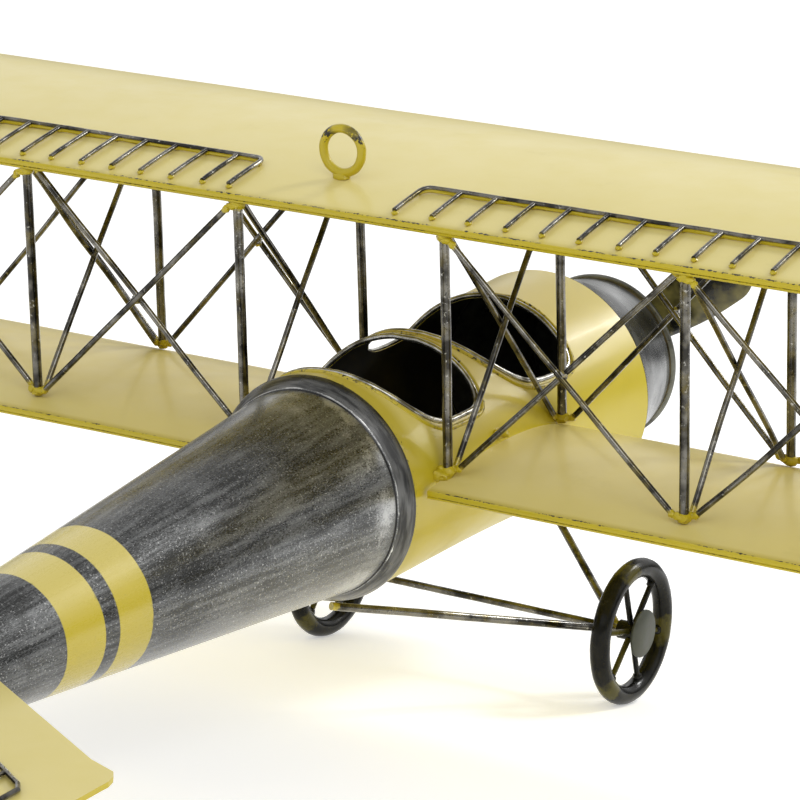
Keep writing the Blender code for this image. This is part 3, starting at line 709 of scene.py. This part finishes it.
# ---------------------------------------------------------------- tail cone and cowl
cone = Mesh()
slope = [(CONE_FRONT_R - CONE_TAPER * (y - SEAM_Y), y)
         for y in np.linspace(CONE_END - 0.002, SEAM_Y + 0.0012, 60)]
add_lathe(cone, [(0, CONE_END + 0.0030), (0.0070, CONE_END + 0.0022), (0.0105, CONE_END + 0.0005)] + slope
          + [(CONE_FRONT_R - 0.0002, SEAM_Y + 0.0006, 1, 0), (CONE_FRONT_R + 0.0002, SEAM_Y + 0.0002, 1, 0),
             (CONE_FRONT_R + 0.0006, SEAM_Y - 0.0002, 0, 1), (0.0440, 0.0262), (0.0456, 0.0240),
             (0.0464, 0.0222), (0.0466, 0.0212, 0.6), (0.0462, 0.0208, 1), (0.0450, 0.0208),
             (0.0440, 0.0225), (0.0405, SEAM_Y), (0.0100, CONE_END - 0.0040), (0, CONE_END - 0.003)],
          ROUND, closed=False)
new_piece("tail_cone_skin", cone.build("cone"), CONE, replaces=["tail_cone"])


def nose(y):
    """Height of the nose's axis, the same all along it."""
    return NOSE_Z


cowl = Mesh()
# the rich values just ahead of the seam carry the painted highlight
add_lathe(cowl, [(0.0488, -0.1592), (0.0504, -0.1592, 0.6), (0.0507, -0.1596, 1), (0.0505, -0.1601, 1),
                 (0.0502, -0.1606, 0, 0.9), (0.0498, -0.1614, 0, 0.5), (0.0490, -0.1630),
                 (0.0468, -0.1680), (0.0444, -0.1740), (0.0423, -0.1800), (0.0404, -0.1860),
                 (0.0389, -0.1920), (0.0377, -0.1975), (0.0371, -0.2010), (0.0366, -0.2030),
                 (0.0362, -0.2048, 0.3), (0.0361, -0.2058, 0.8)],
          ROUND, closed=False, mat=0, centre=nose)
# the groove before the lip gets the painted shade
add_lathe(cowl, [(0.0361, -0.2058), (0.0358, -0.2066), (0.0360, -0.2076)],
          ROUND, closed=False, mat=1, centre=nose)
add_lathe(cowl, [(0.0360, -0.2076), (0.0367, -0.2079), (0.0373, -0.2085), (0.0374, -0.2092),
                 (0.0371, -0.2100), (0.0364, -0.2104), (0.0350, -0.2105), (0.0120, -0.2105),
                 (0.0120, -0.2092), (0.0345, -0.2090), (0.0354, -0.2010), (0.0374, -0.1920),
                 (0.0409, -0.1800), (0.0454, -0.1680), (0.0488, -0.1592)],
          ROUND, closed=False, mat=2, centre=nose)
new_piece("engine_cowl_band", cowl.build("cowl"), [COWL_STEEL, GROOVE_SHADE, LIP_METAL],
          replaces=["engine_cowl"])


# ---------------------------------------------------------------- ring and grilles
ring = Mesh()
loop = [RING + Vector((math.sin(a), 0, -math.cos(a))) * RING_R for a in circle(48)]
add_tube(ring, loop, RING_WIRE_R, 16, cyclic=True, rough=0.10)
for v, (x, y, z) in enumerate(ring.verts):
    ring.line[v] = min(1.0, max(0.0, (z - RING.z) / RING_R) * 1.25)
    ring.rich[v] = 1.0
add_blob(ring, RING + Vector((0.0006, 0, -RING_R - 0.0016)), (0.0040, 0.0026, 0.0018), 4.0, rich=1.0, level=3)
new_piece("hanging_ring_wire", ring.build("ring"), YELLOW_RICH, replaces=["hanging_ring"])


def grille(node, side, rail_y, inner, first, spacing, seed):
    """A ladder of wire lying on the upper wing, welded at every rung's foot."""
    def on_wing(x, y, lift=0.0019):
        return Vector((side * x, y, camber_height(UPPER_CAMBER, y) + lift))

    def rung_x(i):
        return first + i * spacing + 0.0009 * wobble(i * 1.7, seed, 4)

    mesh, welds = Mesh(), Mesh()
    outer, bend = first + RUNGS * spacing, 0.004
    end_ys = [0.0022, -0.004, -0.010, -0.015, rail_y + bend]
    path = [on_wing(inner, y) for y in end_ys]
    path += [on_wing(inner + bend * (1 - math.sin(a)), rail_y + bend * (1 - math.cos(a)))
             for a in (math.radians(d) for d in (65, 40, 20))]
    count = round((outer - inner - 2 * bend) / 0.005)
    path += [on_wing(inner + bend + (outer - inner - 2 * bend) * i / count,
                     rail_y + 0.0004 * wobble(i * 0.23, seed, 1)) for i in range(count + 1)]
    path += [on_wing(outer - bend * (1 - math.sin(a)), rail_y + bend * (1 - math.cos(a)))
             for a in (math.radians(d) for d in (20, 40, 65))]
    path += [on_wing(outer, y) for y in reversed(end_ys)]
    add_tube(mesh, path, 0.00105, 12, rough=0.10, seed=seed, under=True)
    feet = [(inner, 0.0024), (outer, 0.0024)]
    for i in range(RUNGS):
        x = rung_x(i)
        foot = 0.0020 + 0.0014 * wobble(i * 2.3, seed, 9)
        lean = 0.0008 * wobble(i * 1.3, seed, 6)
        rung = [on_wing(x + lean * t, rail_y + (foot - rail_y) * t, 0.0019 - 0.0004 * t)
                for t in np.linspace(0, 1, 8)]
        add_tube(mesh, rung, 0.00095, 12, rough=0.12, seed=seed + i, under=True)
        feet.append((x + lean, foot))
    for i, (x, y) in enumerate(feet):
        add_blob(welds, on_wing(x, y - 0.0004, 0.0007), (0.0014, 0.0016, 0.0009), seed + i, rich=1.0)
    for i in range(RUNGS):
        add_blob(welds, on_wing(rung_x(i), rail_y + 0.0006, 0.0007), (0.0012, 0.0013, 0.0008),
                 seed + 30 + i, rich=1.0)
    skirt = [p + Vector((0, 0.0006, -0.0012)) for p in path[4:-4]]
    add_tube(welds, skirt, 0.0007, 8, rough=0.3, seed=seed + 60, rich=1.0)
    new_piece(node + "_wires", mesh.build(node), WIRE, replaces=[node])
    new_piece(node + "_welds", welds.build(node + "_welds"), YELLOW_RICH)


grille("aileron_grille_left", 1, -0.0240, 0.0534, 0.0664, 0.0150, 2.0)
grille("aileron_grille_right", -1, -0.0207, 0.0247, 0.0415, 0.0163, 5.0)


# ---------------------------------------------------------------- propeller
BLADE_START, BLADE_ROOT, BLADE_BELLY, WIDEST, TIP_START = 0.0040, 0.0050, 0.0085, 0.7, 0.80


def blade_section(r):
    """Half width, half thickness and pitch of a blade at radius r."""
    share = (r - BLADE_START) / (PROP_LENGTH - BLADE_START)
    half = BLADE_ROOT + BLADE_BELLY * math.sin(math.pi / 2 * min(share / WIDEST, 1))
    if share > TIP_START:
        half *= math.sqrt(max(0.0, 1 - ((share - TIP_START) / 0.20) ** 2))
    return max(half, 0.0004), 0.0016 - 0.0008 * share, math.radians(28 - 12 * share)


blades = Mesh()
for turn in (0.0, math.pi):
    angle = PROP_ANGLE + turn
    axis = Vector((-math.cos(angle), 0, math.sin(angle)))
    flat = Vector((math.sin(angle), 0, math.cos(angle)))
    rings = []
    for share in np.sin(np.linspace(0, math.pi / 2, 26)):
        r = 0.0050 + (PROP_LENGTH - 0.0050) * share
        half, thick, pitch = blade_section(r)
        chord = flat * math.cos(pitch) + Vector((0, 1, 0)) * math.sin(pitch)
        normal = axis.cross(chord)
        centre = Vector((0, PROP_Y, NOSE_Z)) + axis * r
        rings.append([blades.vert(centre + chord * half * math.cos(a) + normal * thick * math.sin(a))
                      for a in circle(20)])
    blades.loft(rings)

HUB = ((0.0023, 0.0038), (0.0080, 0.0038), (0.0085, 0.0032),
       (0.0085, -0.0030), (0.0078, -0.0038), (0.0023, -0.0038))
add_lathe(blades, [(r, PROP_Y + y) for r, y in HUB], 48, centre=nose)
new_piece("propeller_blades", blades.build("propeller"), PROP_PAINT, "propeller",
          ["propeller"])


# ---------------------------------------------------------------- wheels
# places on the tyre, from the wheel's centre, where paint has rubbed off on it
TYRE_STAINS = ((0.0065, 0.0265), (0.0215, -0.0180), (-0.0235, -0.0060))
PAINTED_SPOKES = (0, 3, 5)


def wheel(side, name):
    """Tyre, spokes and hub of one wheel, all riding on its own body."""
    mesh = Mesh()
    centre = Vector((side * WHEEL.x, WHEEL.y, WHEEL.z))
    out = Vector((side, 0, 0))
    loop = [centre + Vector((0, math.cos(a), math.sin(a))) * TYRE_R for a in circle(72)]
    add_tube(mesh, loop, TYRE_SECTION, 18, cyclic=True, rough=0.03, seed=side)
    for v, (x, y, z) in enumerate(mesh.verts):
        here = Vector((y, z))
        for spot in TYRE_STAINS:
            away = (here - Vector((centre.y + spot[0], centre.z + spot[1]))).length
            mesh.rich[v] = max(mesh.rich[v], 1.0 - away / 0.015)
    for i in range(SPOKES):
        a = 2 * math.pi / SPOKES * (i + 0.25) + 0.06 * wobble(i * 1.9, side, 2)
        ray = Vector((0, math.cos(a), math.sin(a)))
        spoke = along([centre + ray * 0.003, centre + ray * (TYRE_R - 0.002)], 0.004)
        add_tube(mesh, spoke, 0.00125, 10, rough=0.15, seed=i + side,
                 rich=0.85 if i in PAINTED_SPOKES else 0.30)
        add_blob(mesh, centre + ray * (TYRE_R - 0.0040), (0.0019, 0.0023, 0.0023), i + 3.0 * side, rich=0.4)

    def turned(profile, mat):
        rings = []
        for r, h in profile:
            rings.append([mesh.vert(centre + out * h + Vector((0, math.cos(a), math.sin(a))) * r)
                          for a in circle(40)])
        mesh.loft(rings, mat=mat)

    turned([(0.0040, -0.0055), (0.0040, 0.0046)], 0)
    turned([(0.0096, 0.0047), (0.0102, 0.0050), (0.0102, 0.0057), (0.0098, 0.0060)], 1)
    new_piece(name + "_spoked", mesh.build(name), [WHEEL_METAL, HUB_METAL], name, [name])


wheel(1, "wheel_left")
wheel(-1, "wheel_right")


# ---------------------------------------------------------------- welds
welds = Mesh()
welded = [node for node in sorted(frame["nodes"]) if node.startswith(("strut_", "wire_rear", "wire_front"))]
for index, node in enumerate(welded):
    low, high = rod_ends(node)
    thick = node.startswith("strut_")
    for end, (p, q) in enumerate(((low, high), (high, low))):
        inward = (q - p).normalized()
        if thick:
            size = Vector((0.0034, 0.0028, 0.0024)) * (1 + 0.25 * wobble(index * 1.3, end, 0))
            add_blob(welds, p + inward * (0.0020 if end == 0 else 0.0010), size, index + 0.5 * end, 0.32,
                     rich=1.0)
            if end == 0:
                add_blob(welds, p + Vector((0.0022, 0.0016, 0.0026)), (0.0017, 0.0016, 0.0017),
                         index + 9.0, 0.35, rich=1.0)
        else:
            add_blob(welds, p + inward * 0.0012, (0.0016, 0.0016, 0.0017), index * 0.7 + end, 0.3, rich=1.0)
            # a run of weld from the wire's end to the nearest strut column
            column = min(STRUT_X, key=lambda x: abs(abs(p.x) - x))
            middle_x = math.copysign((abs(p.x) + column) / 2, p.x)
            middle = Vector((middle_x, p.y, p.z + (0.0006 if end else 0.0002)))
            add_blob(welds, middle, (abs(abs(p.x) - column) / 2 + 0.0012, 0.0018, 0.0015),
                     index * 1.9 + end, 0.3, rich=1.0)
for x in (-0.0445, 0.0445):    # where the lower wings meet the body
    add_blob(welds, (x * 1.04, 0.0020, 0.0085), (0.0042, 0.0042, 0.0030), x * 70, 0.40, rich=1.0, level=3)
    add_blob(welds, (x * 1.03, -0.045, 0.0127), (0.0034, 0.0036, 0.0022), x * 30, 0.40, rich=1.0, level=3)
new_piece("strut_welds", welds.build("welds"), YELLOW_RICH)

crossings = Mesh()
for row in ("rear", "front"):
    for side in ("left", "right"):
        for bay in (1, 2):
            # the middle of the shortest line between the two wires
            (a, b), (c, d) = rod_ends(f"wire_{row}_{side}_{bay}a"), rod_ends(f"wire_{row}_{side}_{bay}b")
            u, v, w = b - a, d - c, a - c
            slant = u.dot(u) * v.dot(v) - u.dot(v) ** 2
            on_first = (u.dot(v) * v.dot(w) - v.dot(v) * u.dot(w)) / slant
            on_second = (u.dot(u) * v.dot(w) - u.dot(v) * u.dot(w)) / slant
            add_blob(crossings, (a + u * on_first + c + v * on_second) / 2, (0.0023, 0.0021, 0.0021),
                     on_first * 9 + bay, 0.35)
new_piece("solder_crossings", crossings.build("crossings"), SOLDER)

# ---------------------------------------------------------------- engine
engine = Mesh()
add_lathe(engine, [(0.0023, -0.2060), (0.0116, -0.2060), (0.0116, -0.2108), (0.0138, -0.2112),
                   (0.0140, -0.2172), (0.0135, -0.2180), (0.0112, -0.2190), (0.0023, -0.2190)],
          48, centre=nose)
BARREL_R, FIN_R, FINS, FIRST_FIN, FIN_STEP, FIN_THICK = 0.0030, 0.00365, 6, 0.0165, 0.0028, 0.0009
for i in range(CYLINDERS):
    a = FIRST_CYLINDER + 2 * math.pi * i / CYLINDERS
    ray = Vector((math.cos(a), 0, math.sin(a)))
    base = Vector((0, CYLINDER_Y, NOSE_Z))
    add_tube(engine, [base + ray * r for r in (0.0125, 0.0200, 0.0260, 0.0323)], BARREL_R, 16, rough=0.0)
    for k in range(FINS):
        r = FIRST_FIN + FIN_STEP * k
        add_tube(engine, [base + ray * r, base + ray * (r + FIN_THICK)], FIN_R, 16, rough=0.0)
new_piece("engine_with_fins", engine.build("engine"), COWL_STEEL,
          replaces=["radial_engine"])

# the plainest pieces keep their CAD shape and only get a material
for node, mat in (("propeller_shaft", WORN), ("tailplane", YELLOW),
                  ("fin_and_rudder", YELLOW), ("tail_skid", WIRE),
                  ("elevator_grille_left", WIRE), ("elevator_grille_right", WIRE)):
    obj = frame["nodes"][node]
    for index in range(max(1, len(obj.material_slots))):
        obj.material_slots[index].material = mat

# ---------------------------------------------------------------- floor, light and camera
FLOOR_REACH, FLOOR_GLOW = 60.0, 0.42
floor_mesh = bpy.data.meshes.new("floor")
corners = [(x * FLOOR_REACH, y * FLOOR_REACH, 0) for x, y in ((-1, -1), (1, -1), (1, 1), (-1, 1))]
floor_mesh.from_pydata(corners, [], [(0, 1, 2, 3)])
floor = bpy.data.objects.new("floor", floor_mesh)
bpy.context.scene.collection.objects.link(floor)
paper = Nodes("pale_floor", Roughness=0.9)
paper.shader.inputs["Emission Color"].default_value = (1, 1, 1, 1)
paper.shader.inputs["Emission Strength"].default_value = FLOOR_GLOW
paper_white = paper.mix(paper.noise(3, 2), (0.86, 0.86, 0.86), (0.88, 0.88, 0.875))
floor_mesh.materials.append(paper.set(Base_Color=paper_white))

# The sky's light by height: dim at the horizon, full above it and dimmer again overhead.
# From and to, first of the height and then of the light.
HORIZON, OVERHEAD = (0.06, 0.34, 0.14, 1.10), (0.50, 0.95, 1.0, 0.45)
SPAN_NAMES = ("From Min", "From Max", "To Min", "To Max")
world = bpy.data.worlds.new("studio")
bpy.context.scene.world = world
world.use_nodes = True
sky = world.node_tree
direction = sky.nodes.new("ShaderNodeTexCoord").outputs["Generated"]
parts = sky.nodes.new("ShaderNodeSeparateXYZ")
height = sky.nodes.new("ShaderNodeMapRange")
height.interpolation_type = "SMOOTHSTEP"
for key, value in zip(SPAN_NAMES, HORIZON):
    height.inputs[key].default_value = value
sky.links.new(direction, parts.inputs[0])
sky.links.new(parts.outputs["Z"], height.inputs["Value"])
zenith = sky.nodes.new("ShaderNodeMapRange")
for key, value in zip(SPAN_NAMES, OVERHEAD):
    zenith.inputs[key].default_value = value
sky.links.new(parts.outputs["Z"], zenith.inputs["Value"])
both = sky.nodes.new("ShaderNodeMath")
both.operation = "MULTIPLY"
sky.links.new(height.outputs["Result"], both.inputs[0])
sky.links.new(zenith.outputs["Result"], both.inputs[1])
sky.links.new(both.outputs[0], sky.nodes["Background"].inputs["Strength"])
sky.nodes["Background"].inputs["Color"].default_value = (1.0, 1.0, 1.0, 1)


def softbox(name, position, target, size, power):
    """A rectangular lamp at position that faces target."""
    data = bpy.data.lights.new(name, "AREA")
    data.shape = "RECTANGLE"
    data.size, data.size_y = size
    data.energy = power
    obj = bpy.data.objects.new(name, data)
    bpy.context.scene.collection.objects.link(obj)
    obj.location = position
    obj.rotation_mode = "QUATERNION"
    obj.rotation_quaternion = (Vector(target) - Vector(position)).to_track_quat("-Z", "Y")


softbox("key", (-0.62, -1.10, 1.15), (0, 0, 0.12), (0.30, 0.24), 7)
softbox("window", (-0.95, -1.45, 1.25), (-0.03, 0.12, 0.10), (0.16, 0.9), 5)
softbox("fill", (-0.9, 1.1, 1.3), (0, 0, 0.12), (1.0, 0.7), 5)
bpy.context.scene.view_settings.view_transform = "Standard"

# the camera's place and its right and up directions, in the level frame
CAMERA_PLACE = Vector((-0.80386, 1.23858, 0.49386))
CAMERA_RIGHT, CAMERA_UP = Vector((-0.8468, -0.5319, 0.0)), Vector((0.1591, -0.2533, 0.9542))
LENS, SENSOR, FARTHEST = 175.04, 36.0, 200
camera = bpy.data.cameras.new("camera")
camera.lens, camera.sensor_width = LENS, SENSOR
camera.clip_end = FARTHEST
viewer = bpy.data.objects.new("camera", camera)
bpy.context.scene.collection.objects.link(viewer)
back = CAMERA_RIGHT.cross(CAMERA_UP).normalized()
square_up = back.cross(CAMERA_RIGHT).normalized()
pose = Matrix((CAMERA_RIGHT, square_up, back)).transposed().to_4x4()
pose.translation = CAMERA_PLACE
viewer.matrix_world = LEVEL @ pose
bpy.context.scene.camera = viewer
